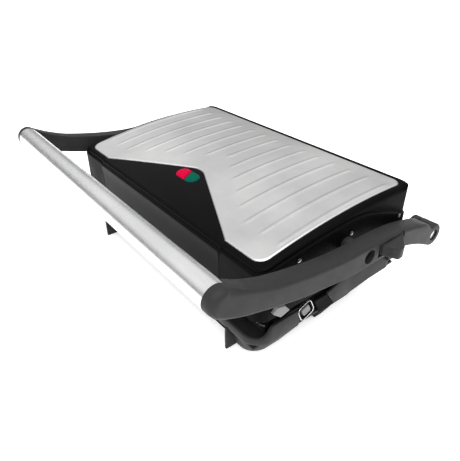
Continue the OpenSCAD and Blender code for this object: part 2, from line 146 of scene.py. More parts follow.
def plastic(name, low, high, rough, grain=0.00006, specular=0.5, ior=1.45):
    m, nodes, links, s = new_material(name)
    cloud = noise(nodes, links, (1, 1, 1), 18)
    fine = noise(nodes, links, (1, 1, 1), 1400, 3, 0.7)
    links.new(ramp(nodes, links, cloud, low, high), s.inputs["Base Color"])
    wear = noise(nodes, links, (1, 1, 1), 60, 6)
    links.new(ramp(nodes, links, wear, rough[0], rough[1]), s.inputs["Roughness"])
    s.inputs["IOR"].default_value = ior
    s.inputs["Specular IOR Level"].default_value = specular
    bump(nodes, links, s, fine, 0.5, grain)
    return m


def metal(name, low, high, rough, brush=(1, 1, 1), freq=900, depth=0.00001, aniso=0.0):
    m, nodes, links, s = new_material(name)
    cloud = noise(nodes, links, (1, 1, 1), 14)
    streak = noise(nodes, links, brush, freq, 5, 0.7)
    links.new(ramp(nodes, links, cloud, low, high), s.inputs["Base Color"])
    links.new(ramp(nodes, links, streak, rough[0], rough[1]), s.inputs["Roughness"])
    s.inputs["Metallic"].default_value = 1.0
    s.inputs["Anisotropic"].default_value = aniso
    bump(nodes, links, s, streak, 0.35, depth)
    return m


def lamp_lens(name, colour):
    m, nodes, links, s = new_material(name)
    cloud = noise(nodes, links, (1, 1, 1), 90)
    dim = tuple(c * 0.82 for c in colour)
    links.new(ramp(nodes, links, cloud, dim, colour), s.inputs["Base Color"])
    s.inputs["Roughness"].default_value = 0.3
    s.inputs["IOR"].default_value = 1.12
    s.inputs["Specular IOR Level"].default_value = 0.2
    s.inputs["Subsurface Weight"].default_value = 0.15
    s.inputs["Subsurface Radius"].default_value = (0.003, 0.003, 0.003)
    bump(nodes, links, s, noise(nodes, links, (1, 1, 1), 500), 0.2, 0.00003)
    return m


MATERIALS = {
    "black_plastic": plastic("black_plastic", (0.002, 0.002, 0.0022), (0.0038, 0.0038, 0.004), (0.34, 0.5),
                             0.00002, 0.2, 1.15),
    "gloss_black": plastic("gloss_black", (0.003, 0.003, 0.0032), (0.005, 0.005, 0.0052), (0.12, 0.22),
                           0.000004, 0.2, 1.14),
    "steel": metal("steel", (0.56, 0.56, 0.56), (0.74, 0.74, 0.735), (0.26, 0.44), (1, 14, 1), 420,
                   0.000016, 0.3),
    "brushed_aluminium": metal("brushed_aluminium", (0.72, 0.72, 0.725), (0.80, 0.80, 0.80), (0.22, 0.34),
                               (0.03, 1, 1), 2200, 0.000003, 0.3),
    "grey_plastic": plastic("grey_plastic", (0.018, 0.018, 0.0184), (0.027, 0.027, 0.0275), (0.42, 0.56),
                            0.00011, 0.35, 1.3),
    "light_grey_plastic": plastic("light_grey_plastic", (0.13, 0.13, 0.13), (0.24, 0.24, 0.24), (0.32, 0.45),
                                  0.00004, 0.5),
    "red_lens": lamp_lens("red_lens", (0.5, 0.001, 0.035)),
    "green_lens": lamp_lens("green_lens", (0.001, 0.08, 0.055)),
    "lamp_glass": plastic("lamp_glass", (0.8, 0.5, 0.3), (0.9, 0.62, 0.4), (0.05, 0.12), 0.00001, 0.5),
    "ceramic": plastic("ceramic", (0.7, 0.68, 0.62), (0.8, 0.78, 0.72), (0.45, 0.6), 0.00005, 0.5),
    "grill_coating": plastic("grill_coating", (0.018, 0.018, 0.018), (0.032, 0.031, 0.03), (0.34, 0.5),
                             0.00012, 0.5),
    "heater_sheath": metal("heater_sheath", (0.16, 0.155, 0.15), (0.28, 0.26, 0.24), (0.4, 0.6)),
    "reflector": metal("reflector", (0.5, 0.5, 0.5), (0.6, 0.6, 0.6), (0.2, 0.35), (1, 20, 1), 300),
    "screw_steel": metal("screw_steel", (0.42, 0.42, 0.42), (0.55, 0.55, 0.54), (0.25, 0.4), (1, 1, 1), 500),
    "pin_steel": metal("pin_steel", (0.58, 0.58, 0.585), (0.7, 0.7, 0.7), (0.2, 0.32), (1, 1, 1), 500),
    "brass": metal("brass", (0.6, 0.42, 0.16), (0.75, 0.55, 0.24), (0.25, 0.4)),
    "rubber": plastic("rubber", (0.004, 0.004, 0.004), (0.008, 0.008, 0.008), (0.6, 0.8), 0.00008, 0.2, 1.2),
    "chrome": metal("chrome", (0.78, 0.78, 0.79), (0.86, 0.86, 0.86), (0.06, 0.14)),
}
SLOTS = {entry["node"]: entry["material_slot"] for entry in frame["record"]["subparts"]}
for node_name, node in frame["nodes"].items():
    node.data.materials.clear()
    node.data.materials.append(MATERIALS[SLOTS[node_name]])


# ---------------------------------------------------------------- mesh tools

def piece(name, verts, faces, slot, body, nodes=(), angle=40, bevel=0, segments=3):
    """Makes a mesh from millimetre points and puts it on a body with its material."""
    mesh = bpy.data.meshes.new(name)
    mesh.from_pydata([place(v) for v in verts], [], faces)
    bm = bmesh.new()
    bm.from_mesh(mesh)
    bmesh.ops.remove_doubles(bm, verts=bm.verts, dist=1e-7)
    bmesh.ops.recalc_face_normals(bm, faces=bm.faces)
    bm.to_mesh(mesh)
    bm.free()
    obj = bpy.data.objects.new(name, mesh)
    bpy.context.collection.objects.link(obj)
    mesh.materials.append(MATERIALS[slot])
    finish_edges(obj, angle, bevel, segments)
    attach(obj, body)
    if nodes:
        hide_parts(*nodes)
    return obj


def finish_edges(obj, angle, bevel, segments=3):
    if bevel:
        mod = obj.modifiers.new("bevel", "BEVEL")
        mod.width = bevel * MM
        mod.segments = segments
        mod.limit_method = "ANGLE"
        mod.angle_limit = math.radians(angle)
        mod.harden_normals = False
    obj.data.shade_smooth()
    obj.data.set_sharp_from_angle(angle=math.radians(angle))


def loft(rows, closed=True, cap_start=True, cap_end=True):
    """Joins rows of points, each with the same number of points, into one skin."""
    verts, faces = [], []
    n = len(rows[0])
    for row in rows:
        verts += row
    for j in range(len(rows) - 1):
        for i in range(n if closed else n - 1):
            k = (i + 1) % n
            faces.append((j * n + i, j * n + k, (j + 1) * n + k, (j + 1) * n + i))
    if cap_start:
        faces.append(tuple(range(n))[::-1])
    if cap_end:
        faces.append(tuple((len(rows) - 1) * n + i for i in range(n)))
    return verts, faces


def merge(*parts):
    verts, faces = [], []
    for v, f in parts:
        faces += [tuple(i + len(verts) for i in face) for face in f]
        verts += v
    return verts, faces


def mirrored(part):
    verts, faces = part
    return [(-x, y, z) for x, y, z in verts], [face[::-1] for face in faces]


def rod_x(x0, x1, y, z, r, round_over=0.4, n=64, bore=0):
    """A turned rod along X with eased ends."""
    e = round_over
    stations = [(x0, r - e), (x0 + e * 0.3, r - e * 0.3), (x0 + e, r),
                (x1 - e, r), (x1 - e * 0.3, r - e * 0.3), (x1, r - e)]
    if bore:
        stations = [(x1, bore), (x0, bore)] + stations + [(x1, bore)]
    turn = [2 * math.pi * i / n for i in range(n)]
    rows = [[(x, y + q * math.cos(a), z + q * math.sin(a)) for a in turn] for x, q in stations]
    return loft(rows, cap_start=not bore, cap_end=not bore)


def box(x0, x1, y0, y1, z0, z1):
    v = [(x, y, z) for x in (x0, x1) for y in (y0, y1) for z in (z0, z1)]
    f = [(0, 1, 3, 2), (4, 6, 7, 5), (0, 4, 5, 1), (2, 3, 7, 6), (0, 2, 6, 4), (1, 5, 7, 3)]
    return v, f


def prism_x(profile, x0, x1):
    return loft([[(x0, y, z) for y, z in profile], [(x1, y, z) for y, z in profile]])


def prism_z(plan, z0, z1):
    return loft([[(x, y, z0) for x, y in plan], [(x, y, z1) for x, y in plan]])


def outline(dx, front, rear, r, xs, ys, corner=10):
    """A rounded rectangle of half width dx from front to rear, starting at the front left, anticlockwise.
    xs and ys are the places, as fractions, of the points along its straight sides."""
    r = max(r, 0.3)
    turn = steps(0, math.pi / 2, corner)[1:-1]
    pts = [(lerp(-dx + r, dx - r, t), front) for t in xs]
    pts += [(dx - r + r * math.sin(a), front + r - r * math.cos(a)) for a in turn]
    pts += [(dx, lerp(front + r, rear - r, t)) for t in ys]
    pts += [(dx - r + r * math.cos(a), rear - r + r * math.sin(a)) for a in turn]
    pts += [(lerp(dx - r, -dx + r, t), rear) for t in xs]
    pts += [(-dx + r - r * math.sin(a), rear - r + r * math.cos(a)) for a in turn]
    pts += [(-dx, lerp(rear - r, front + r, t)) for t in ys]
    pts += [(-dx + r - r * math.cos(a), front + r - r * math.sin(a)) for a in turn]
    return pts


def carve(obj, *cutters):
    """Cuts closed shapes out of a piece."""
    for verts, faces in cutters:
        mesh = bpy.data.meshes.new("cut")
        mesh.from_pydata([place(v) for v in verts], [], faces)
        bm = bmesh.new()
        bm.from_mesh(mesh)
        bmesh.ops.recalc_face_normals(bm, faces=bm.faces)
        bm.to_mesh(mesh)
        bm.free()
        tool = bpy.data.objects.new("cut", mesh)
        bpy.context.collection.objects.link(tool)
        mod = obj.modifiers.new("cut", "BOOLEAN")
        mod.operation = "DIFFERENCE"
        mod.solver = "EXACT"
        mod.object = tool
        bpy.context.view_layer.update()
        deps = bpy.context.evaluated_depsgraph_get()
        result = bpy.data.meshes.new_from_object(obj.evaluated_get(deps))
        obj.modifiers.clear()
        obj.data = result
        bpy.data.objects.remove(tool)
    return obj


# ---------------------------------------------------------------- lid

VEE_HALF = 90.0
COVER_HALF = 127.0
COVER_FRONT = -73.8
COVER_REAR = 75.2
COVER_R = 9.0
PANEL_HALF = 92.0
VEE_PEAK_Y, VEE_PEAK_R = -28.6, 18.5
LENS_HALF, LENS_R, LENS_Y = 13.2, 6.2, -43.0
SCREWS = [(-47.2, 85.8), (5.4, 86.2), (65, 79.2)]


def dome(y):
    return 102.6 - (y - 45.0) ** 2 / 1080.0


def ledge(y):
    return through([(-80, 84.4), (-78, 85.4), (-74, 87.0), (-52, 90.4), (-25, 94.1), (4, 96.6), (20, 95.9),
                    (38, 91.6), (65, 81.8), (80, 77)], y)


def vee_y(x):
    """Rear edge of the front panel: two straight flanks and a rounded peak."""
    slope = (VEE_PEAK_Y - COVER_FRONT) / VEE_HALF
    flank = VEE_PEAK_Y - slope * abs(x)
    r = VEE_PEAK_R
    angle = math.atan(slope)
    reach = r * math.sin(angle)
    if abs(x) < reach:
        return VEE_PEAK_Y - r / math.cos(angle) + math.sqrt(r * r - x * x)
    return max(flank, COVER_FRONT)


def lid_rows():
    seam = (PANEL_HALF + 0.8) / (HALF_W - 9)
    near = (PANEL_HALF + 0.4) / (HALF_W - 9)
    xs = sorted({0, 0.06, 0.5 - seam / 2, 0.5 - near / 2, 0.3, 0.5, 0.7, 0.5 + near / 2, 0.5 + seam / 2,
                 0.94, 1})
    ys = steps(0, 1, 30)
    spec = [(2.6, "z", 62), (2.6, "z", SKIRT_Z + 0.6), (1.9, "z", SKIRT_Z), (0.5, "z", SKIRT_Z),
            (0.1, "z", SKIRT_Z + 0.5), (0, "z", SKIRT_Z + 1.2), (0, "u", 0.4), (0, "u", 0.75), (0, "l", -1.4),
            (0.1, "l", -0.6), (0.45, "l", -0.15), (1.0, "l", 0), (1.8, "l", -0.05), (2.2, "l", -0.4),
            (2.35, "l", 0), (2.4, "l", 0.8)]
    rows = []
    for inset, kind, value in spec:
        row = []
        rear = HALF_D - (min(inset, 0.2) if kind == "l" else inset)
        plan = outline(HALF_W - inset, -HALF_D + inset, rear, 10 - inset, xs, ys)
        for x, y in plan:
            edge = ledge(y)
            z = {"z": value, "u": lerp(SKIRT_Z, edge, value), "l": edge + value}[kind]
            row.append((x, y, z))
        rows.append(row)
    for a in steps(0, math.pi / 2, 8)[1:] + [None]:
        f = 1 - math.cos(a) if a is not None else 1.25
        plan = outline(lerp(HALF_W - 2.4, COVER_HALF + 0.5, f), lerp(-HALF_D + 2.4, COVER_FRONT - 0.5, f),
                       COVER_REAR + 0.2 if a is None else lerp(HALF_D - 0.2, HALF_D - 2.4, f),
                       lerp(7.6, COVER_R, min(f, 1)), xs, ys)
        row = []
        for x, y in plan:
            low = ledge(y) + 0.8
            at_rear = smooth((y - 70) / 6)
            top = dome(y) - (0.9 if a is None else lerp(0.3, -0.45, at_rear))
            span = min(top - low, lerp(6.0, 1.6, at_rear))
            row.append((x, y, top if a is None else top - span + span * math.sin(a)))
        rows.append(row)
    # The middle of the front stands back, so that the front panel fits into it.
    for row in rows[1:]:
        for i in range(3, 8):
            x, y, z = row[i]
            row[i] = (x, y + 1.6, z - (1.0 if z > 80 else 0))
    return rows


def fan(row, centre):
    n = len(row)
    return row + [centre], [(i, (i + 1) % n, n) for i in range(n)]


def make_lid():
    rows = lid_rows()
    skin = loft(rows, cap_start=False, cap_end=False)
    floor = fan(rows[0], (0, 0, 62))
    roof = fan(rows[-1], (0, 0, dome(0) - 6))
    bosses = [rod_x(s * 134.4 if s > 0 else -135.4, s * 134.4 + (1.0 if s > 0 else 0), -0.5, 80, 6.4, 0.3)
              for s in (1, -1)]
    piece("lid_housing", *merge(skin, floor, roof), "black_plastic", "lid", ["top_shell"], 38)
    for i, b in enumerate(bosses):
        piece(f"lid_boss_{i}", *b, "black_plastic", "lid", (), 38)


def rib_front(x):
    return max(-57.0, -3 - 0.62 * abs(x))


RIB_PITCH, RIB_HALF, RIB_RISE = 17.4, 2.6, 0.44
RIBS = [RIB_PITCH * i for i in range(-7, 8)]


def rib_height(x, y):
    best = 0.0
    for c in RIBS:
        d = abs(x - c)
        if d < RIB_HALF:
            y0 = rib_front(c)
            along = smooth((y - y0) / 6) * smooth((63 - y) / 8)
            best = max(best, RIB_RISE * along * (0.5 + 0.5 * math.cos(math.pi * d / RIB_HALF)))
    return best


def corner_run(x, half, y_front, y_rear, r):
    """Front and rear y of a rounded rectangle at a given x."""
    over = abs(x) - (half - r)
    if over <= 0:
        return y_front, y_rear
    back = r - math.sqrt(max(r * r - over * over, 0))
    return y_front + back, y_rear - back


# Distances in from an edge at which its rounding is drawn.
EDGE = [0, 0.08, 0.25, 0.5, 0.85, 1.3, 2.0]
COVER_STEP, COVER_ROLL = 0.8, 1.4


def make_cover():
    inner = []
    x = COVER_HALF - 3
    while x > -COVER_HALF + 3:
        inner.append(x)
        x -= COVER_STEP
    xs = [-COVER_HALF + e for e in EDGE] + sorted(inner) + [COVER_HALF - e for e in reversed(EDGE)]
    rows = []
    for x in xs:
        y0, y1 = corner_run(x, COVER_HALF, COVER_FRONT, COVER_REAR, COVER_R)
        notch = vee_y(x) + 0.25 if abs(x) < VEE_HALF else -999
        y0 = max(y0, notch)
        slope = 0.895 if notch > -900 and notch >= y0 else 1.0
        ends = [e / slope for e in EDGE]
        ys = [y0 + e for e in ends] + [lerp(y0 + 3, y1 - 3, t / 84) for t in range(85)] \
            + [y1 - e for e in reversed(EDGE)]
        row = []
        for y in ys:
            side = COVER_HALF - abs(x)
            d = min((y - y0) * slope, y1 - y, side)
            cx, cy = abs(x) - (COVER_HALF - COVER_R), max(COVER_FRONT + COVER_R - y, y - COVER_REAR + COVER_R)
            if cx > 0 and cy > 0:
                d = min(d, COVER_R - math.hypot(cx, cy))
            d = max(d, 0)
            r = COVER_ROLL
            roll = r - math.sqrt(max(r * r - (r - d) ** 2, 0)) if d < r else 0
            row.append((x, y, dome(y) + 0.2 - roll + rib_height(x, y)))
        rows.append(row)
    verts, faces = loft(rows, closed=False, cap_start=False, cap_end=False)
    n, m = len(rows[0]), len(rows)
    rim = [i for i in range(n)] + [j * n + n - 1 for j in range(1, m)] \
        + [(m - 1) * n + i for i in range(n - 2, -1, -1)] + [j * n for j in range(m - 2, 0, -1)]
    base = len(verts)
    verts += [(verts[i][0], verts[i][1], dome(verts[i][1]) - 1.6) for i in rim]
    k = len(rim)
    faces += [(rim[i], rim[(i + 1) % k], base + (i + 1) % k, base + i) for i in range(k)]
    faces.append(tuple(base + i for i in range(k)))
    piece("ribbed_cover", verts, faces, "steel", "lid", ["steel_cover"], 50)


def make_front_panel():
    shape = [(-76.0, 88.9), (-77.3, 88.0), (-78.2, 86.8), (-78.5, 85.7), (-78.5, 85.0), (-78.9, 84.75),
             (-79.6, 84.8), (-80.3, 84.55), (-80.75, 84.0), (-80.8, 83.2), (-80.6, 81.3), (-80.25, 78.5),
             (-80.0, 74), (-79.9, 66), (-80.0, 56), (-80.2, 50), (-80.0, 48.7), (-79.4, 48.1), (-78.6, 48.0)]
    inner = steps(-PANEL_HALF + 2, PANEL_HALF - 2, 150)
    xs = [-PANEL_HALF + e for e in EDGE[:-1]] + inner + [PANEL_HALF - e for e in reversed(EDGE[:-1])]
    rows = []
    for x in xs:
        edge = vee_y(min(abs(x), VEE_HALF)) - 0.35
        side = PANEL_HALF - abs(x)
        round_side = 0.7 - math.sqrt(max(0.49 - (0.7 - side) ** 2, 0)) if side < 0.7 else 0
        row = [(x, edge, dome(edge) - 2.2)]
        for e in EDGE[:-1] + [2.5, 6]:
            y = edge - e
            roll = 0.8 - math.sqrt(max(0.64 - (0.8 - e) ** 2, 0)) if e < 0.8 else 0
            if y > -75:
                row.append((x, y, dome(y) - 0.15 - roll - round_side))
            else:
                t = min((-75 - y) / 8, 0.9)
                row.append((x, lerp(-75, -75.9, t), lerp(dome(-75) - 0.15, 88.95, t) - round_side))
        for t in steps(0, 1, 14)[1:]:
            y = lerp(max(edge - 6, -75.2), -75.2, t)
            row.append((x, y, lerp(dome(y) - 0.15, dome(y) - 0.25, smooth((-72 - y) / 3)) - round_side))
        row += [(x, y + round_side, z) for y, z in shape]
        row.append((x, -77.0, 48.4))
        rows.append(row)
    verts, faces = loft(rows, closed=False, cap_start=False, cap_end=False)
    piece("front_panel_skin", verts, faces, "gloss_black", "lid", ["front_panel"], 40)


def make_lens(name, side, slot, node):
    """Half of an oval lens, parted by an oblique line."""
    half, r, y0 = LENS_HALF, LENS_R, LENS_Y
    lean, gap = 3.0, 0.25
    plan = []
    for a in steps(-90, 90, 28):
        plan.append((side * (half - r + r * math.cos(math.radians(a))), y0 + r * math.sin(math.radians(a))))
    top_cut, low_cut = (-lean + side * gap, y0 + r), (lean + side * gap, y0 - r)
    cut = [(lerp(top_cut[0], low_cut[0], t), lerp(top_cut[1], low_cut[1], t)) for t in steps(0, 1, 10)]
    loop = plan + cut
    cx = side * 6.5
    rows = []
    crown = [(1, -3.5), (1, -0.4), (0.985, 0.05), (0.94, 0.42), (0.84, 0.75), (0.66, 1.0), (0.4, 1.15),
             (0.15, 1.2)]
    for scale, lift in crown:
        row = []
        for x, y in loop:
            px, py = lerp(cx, x, scale), lerp(y0, y, scale)
            row.append((px, py, dome(py) + lift))
        rows.append(row)
    piece(name, *loft(rows), slot, "lid", [node], 60)


def make_lid_trim():
    screws = []
    for s in (1, -1):
        for y, z in SCREWS:
            n = 28
            stations = [(135.0, 1.6), (135.5, 1.6), (135.7, 1.3), (135.75, 0.8), (135.5, 0.6), (135.4, 0.05)]
            turn = [2 * math.pi * i / n for i in range(n)]
            rows = [[(x, y + q * math.cos(a), z + q * math.sin(a)) for a in turn] for x, q in stations]
            part = loft(rows)
            screws.append(part if s > 0 else mirrored(part))
    piece("ledge_screws", *merge(*screws), "screw_steel", "lid", ["skirt_screws"], 35)
    rings = [rod_x(134.8, 135.3, y, z, 2.3, 0.15, 32) for y, z in SCREWS]
    piece("screw_seats", *merge(*rings, *[mirrored(r) for r in rings]), "rubber", "lid", (), 35)


def hex_catch():
    loop = [(-8.0, 1.8), (-4.3, 5.2), (3.0, 3.2), (8.0, -3.2), (-0.4, -5.3), (-6.1, -0.6)]
    rows = [[(x, -62 + u * s, 51.8 + v * s) for u, v in loop]
            for x, s in [(134.6, 1.0), (137.0, 1.0), (137.45, 0.92), (137.55, 0.6)]]
    piece("catch", *loft(rows), "light_grey_plastic", "lid", ["latch_catch"], 30, 0.35, 2)
    hook = prism_x([(-67, 56), (-67, 28.2), (-57, 28.2), (-57, 30), (-62, 30), (-62, 38.2), (-57, 38.2),
                    (-57, 56)], 127, 129.8)
    neck = box(129.4, 135.2, -64.6, -60.4, 51.8, 55.2)
    piece("catch_hook", *merge(hook, neck), "black_plastic", "lid", (), 30, 0.3, 2)


make_lid()
make_cover()
make_front_panel()
make_lens("lens_left", -1, "red_lens", "lens_red")
make_lens("lens_right", 1, "green_lens", "lens_green")
make_lid_trim()
hex_catch()

# ---------------------------------------------------------------- handle

TUBE_Y, TUBE_Z, TUBE_R = -124.7, 104.2, 8.9
ARM_IN, ARM_OUT, TUBE_END, TUBE_BORE = 142.8, 156.8, 148.0, 7.7
CAP_R = TUBE_R + 0.2
HINGE_Y, HINGE_Z, EYE_R = 85.5, 63.5, 9.5
PIVOT_Y, PIVOT_Z = -0.5, 80.0
ARM_TOP = [(-121, 112.5), (-114, 108.6), (-107, 105), (-98, 101.5), (-87, 98), (-64, 93.4), (-45, 90.5),
           (-24, 88.6), (0, 88.3), (16, 88), (35, 86.4), (55, 82.6), (71, 78.4), (80, 73.6)]
ARM_LOW = [(82, 54.6), (79, 56.2), (65, 62.7), (43, 69.4), (20, 71.2), (0, 71), (-12, 70.6), (-27, 71.6),
           (-45, 74), (-62, 76.3), (-79, 79.9), (-105, 86.8), (-118, 90.9), (-126, 93.9), (-130, 96.3)]


def arm_profile():
    """Closed side view of an arm, with how round its outer edge is at each point."""
    pts = []
    for a in steps(206, 72, 34):
        pts.append((TUBE_Y + CAP_R * math.cos(math.radians(a)), TUBE_Z + CAP_R * math.sin(math.radians(a)),
                    lerp(5.6, 4.0, abs(a - 139) / 67)))
    top = sorted(ARM_TOP)
    for y in steps(-121, 77, 70):
        pts.append((y, through(top, y), lerp(4.6, 2.6, smooth((y + 121) / 14))))
    for a in steps(122, -108, 26):
        pts.append((HINGE_Y + EYE_R * math.cos(math.radians(a)),
                    HINGE_Z + EYE_R * math.sin(math.radians(a)), 1.6))
    low = sorted(ARM_LOW)
    for y in steps(80, -130, 68):
        rounding = lerp(1.6, 2.4, smooth((75 - y) / 30))
        pts.append((y, through(low, y), lerp(rounding, 4.0, smooth((-112 - y) / 18))))
    return pts


def arm_body(side):
    pts = arm_profile()
    n = len(pts)
    normals = []
    for i in range(n):
        (y0, z0, _), (y1, z1, _) = pts[i - 1], pts[(i + 1) % n]
        ty, tz = y1 - y0, z1 - z0
        length = math.hypot(ty, tz)
        normals.append((-tz / length, ty / length))
    area = sum(pts[i][0] * pts[(i + 1) % n][1] - pts[(i + 1) % n][0] * pts[i][1] for i in range(n))
    sign = 1 if area > 0 else -1
    rows = []
    for x, inset in [(ARM_IN, 0.8), (ARM_IN + 0.25, 0.25), (ARM_IN + 0.8, 0)]:
        rows.append([(x, y + sign * ny * inset, z + sign * nz * inset)
                     for (y, z, _), (ny, nz) in zip(pts, normals)])
    for a in steps(0, math.pi / 2, 8):
        rows.append([(ARM_OUT - r + r * math.sin(a), y + sign * ny * r * (1 - math.cos(a)),
                      z + sign * nz * r * (1 - math.cos(a))) for (y, z, r), (ny, nz) in zip(pts, normals)])
    verts, faces = loft(rows)
    name = "arm_right" if side > 0 else "arm_left"
    node = "right_arm" if side > 0 else "left_arm"
    part = (verts, faces) if side > 0 else mirrored((verts, faces))
    obj = piece(name, *part, "grey_plastic", "handle", [node], 40)
    cuts = [rod_x(ARM_OUT - 5, ARM_OUT + 2, PIVOT_Y, PIVOT_Z, 5.4, 0),
            rod_x(ARM_OUT - 5, ARM_OUT + 2, HINGE_Y, HINGE_Z, 4.85, 0)]
    if side > 0:
        cuts.append(box(ARM_OUT - 8, ARM_OUT + 2, 9.4, 38.9, 74.3, 85.5))
    else:
        cuts = [mirrored(c) for c in cuts]
    socket = rod_x(ARM_IN - 3, TUBE_END, TUBE_Y, TUBE_Z, TUBE_R + 0.5, 0, 96)
    carve(obj, *cuts, socket if side > 0 else mirrored(socket))
    boss = rod_x(HALF_W + 0.6, ARM_IN + 0.6, PIVOT_Y, PIVOT_Z, 5.8, 0.5)
    piece(name + "_boss", *(boss if side > 0 else mirrored(boss)), "grey_plastic", "handle", (), 40)
    obj.data.shade_smooth()
    obj.data.set_sharp_from_angle(angle=math.radians(40))


def tube():
    n = 128
    rows = []
    stations = [(-TUBE_END, TUBE_BORE)] + [(x, TUBE_R) for x in steps(-TUBE_END, TUBE_END, 24)]
    for x, r in stations + [(TUBE_END, TUBE_BORE)]:
        turn = [2 * math.pi * i / n for i in range(n)]
        rows.append([(x, TUBE_Y + r * math.cos(a), TUBE_Z + r * math.sin(a)) for a in turn])
    rows.append(rows[0])
    skin = loft(rows, cap_start=False, cap_end=False)
    piece("tube", *skin, "brushed_aluminium", "handle", ["handle_tube"], 40)


def studs():
    parts = []
    for s in (1, -1):
        for part in (rod_x(122, ARM_OUT - 5, PIVOT_Y, PIVOT_Z, 3.98, 0.4),
                     rod_x(ARM_OUT - 5, ARM_OUT - 3.4, PIVOT_Y, PIVOT_Z, 5.1, 0.5)):
            parts.append(part if s > 0 else mirrored(part))
    piece("studs", *merge(*parts), "rubber", "handle", ["pivot_studs"], 35)
    pins = []
    for s in (1, -1):
        part = rod_x(136.4, ARM_OUT - 1.2, HINGE_Y, HINGE_Z, 3.9, 0.6)
        pins.append(part if s > 0 else mirrored(part))
    piece("hinge_rods", *merge(*pins), "pin_steel", "base", ["hinge_pins"], 35)


def lever():
    plan = [(ARM_OUT - 1.0, 12.8), (ARM_OUT + 9.8, 17.6), (167.4, 18.6), (167.4, 22.6), (ARM_OUT + 9.4, 25.0),
            (ARM_OUT - 1.0, 38.2)]
    body = prism_z(plan, 74.9, 84.5)
    root = box(ARM_OUT - 7, ARM_OUT - 0.6, 13, 38.4, 74.8, 84.6)
    piece("lever", *body, "grey_plastic", "lever", ["release_lever"], 30, 1.3, 4)
    piece("lever_root", *root, "grey_plastic", "lever", (), 30, 0.5, 2)


arm_body(1)
arm_body(-1)
tube()
studs()
lever()

# ---------------------------------------------------------------- base

BASE_FRONT, BASE_REAR, BASE_R = -HALF_D - 2.5, 76.0, 15.0
LIP_Z, WALL_Z, TAPER_Z, TROUGH_Z = 30.0, 39.0, 25.0, 21.0
HIGH_Z = 44.2
WALL_FOOT = [(-90, 0), (-46, 0), (-41, 23), (-39.6, 30.5), (-19, 30.5), (-15.4, 23), (9, 23), (17, 26.3),
             (40, 28.6), (76, 29.2)]
LATCH_TILT, LATCH_LEAN = math.radians(16), math.radians(15)
LATCH_Y, LATCH_Z = -33.9, 34.8


def wall_top(y):
    return through([(-83, LIP_Z), (-76, LIP_Z), (-73, 31), (-70.4, 33.6), (-68.4, 37), (-66.6, 38.7),
                    (-64, WALL_Z), (-13, WALL_Z), (-8, 40.2), (2, 43.4), (7, HIGH_Z), (30, HIGH_Z),
                    (50, 43.6), (76, 42.6)], y)


def wall_foot(x, y):
    """Height of the outer wall's lower edge."""
    if y < -70 and abs(x) < 100.4:
        return TROUGH_Z - 2
    for (y0, z0), (y1, z1) in zip(WALL_FOOT, WALL_FOOT[1:]):
        if y <= y1:
            return lerp(z0, z1, (y - y0) / (y1 - y0))
    return WALL_FOOT[-1][1]


def wall_skin():
    straight_x = 2 * (HALF_W - BASE_R)
    leg = 0.5 - 100.6 / straight_x
    xs = sorted({0, 0.02, leg - 0.03, leg - 0.0008, leg + 0.0008, 0.2, 0.35, 0.5, 0.65, 0.8, 1 - leg - 0.0008,
                 1 - leg + 0.0008, 1 - leg + 0.03, 1})
    y_of = [-67.5, -67, -66.5, -66, -65.5, -64, -60, -54, -48, -46.02, -46, -43, -41, -39.6, -36, -30, -24,
            -19, -17, -15.4, -13, -8, -3, 2, 7, 9, 13, 17, 24, 32, 40, 50, 61]
    span = BASE_REAR - BASE_R - (BASE_FRONT + BASE_R)
    ys = [(y - BASE_FRONT - BASE_R) / span for y in y_of]
    spec = [(2.5, "under", 0), (2.5, "top", -0.7), (2.25, "top", -0.2), (1.8, "top", 0), (0.8, "top", 0),
            (0.25, "top", -0.25), (0, "top", -0.8), (0, "rim", 0), (0, "foot", 0)]
    rows = []
    for inset, kind, value in spec:
        plan = outline(HALF_W - inset, BASE_FRONT + inset, BASE_REAR - inset, BASE_R - inset, xs, ys, 14)
        row = []
        for x, y in plan:
            foot = wall_foot(x, y)
            if y > 9 and kind == "under":
                foot += 1.6
            z = {"top": wall_top(y) + value, "rim": max(TAPER_Z, foot + 0.05), "foot": foot,
                 "under": foot}[kind]
            taper = max(0, (TAPER_Z - z) / TAPER_Z)
            sx = 1 - 15 * taper / HALF_W
            front, rear = smooth((-40 - y) / 25), smooth((y - 40) / 30)
            row.append((x * sx, y + taper * (10.5 * front - 14 * rear), z))
        rows.append(row)
    rows.append(rows[0])
    return loft(rows, cap_start=False, cap_end=False)


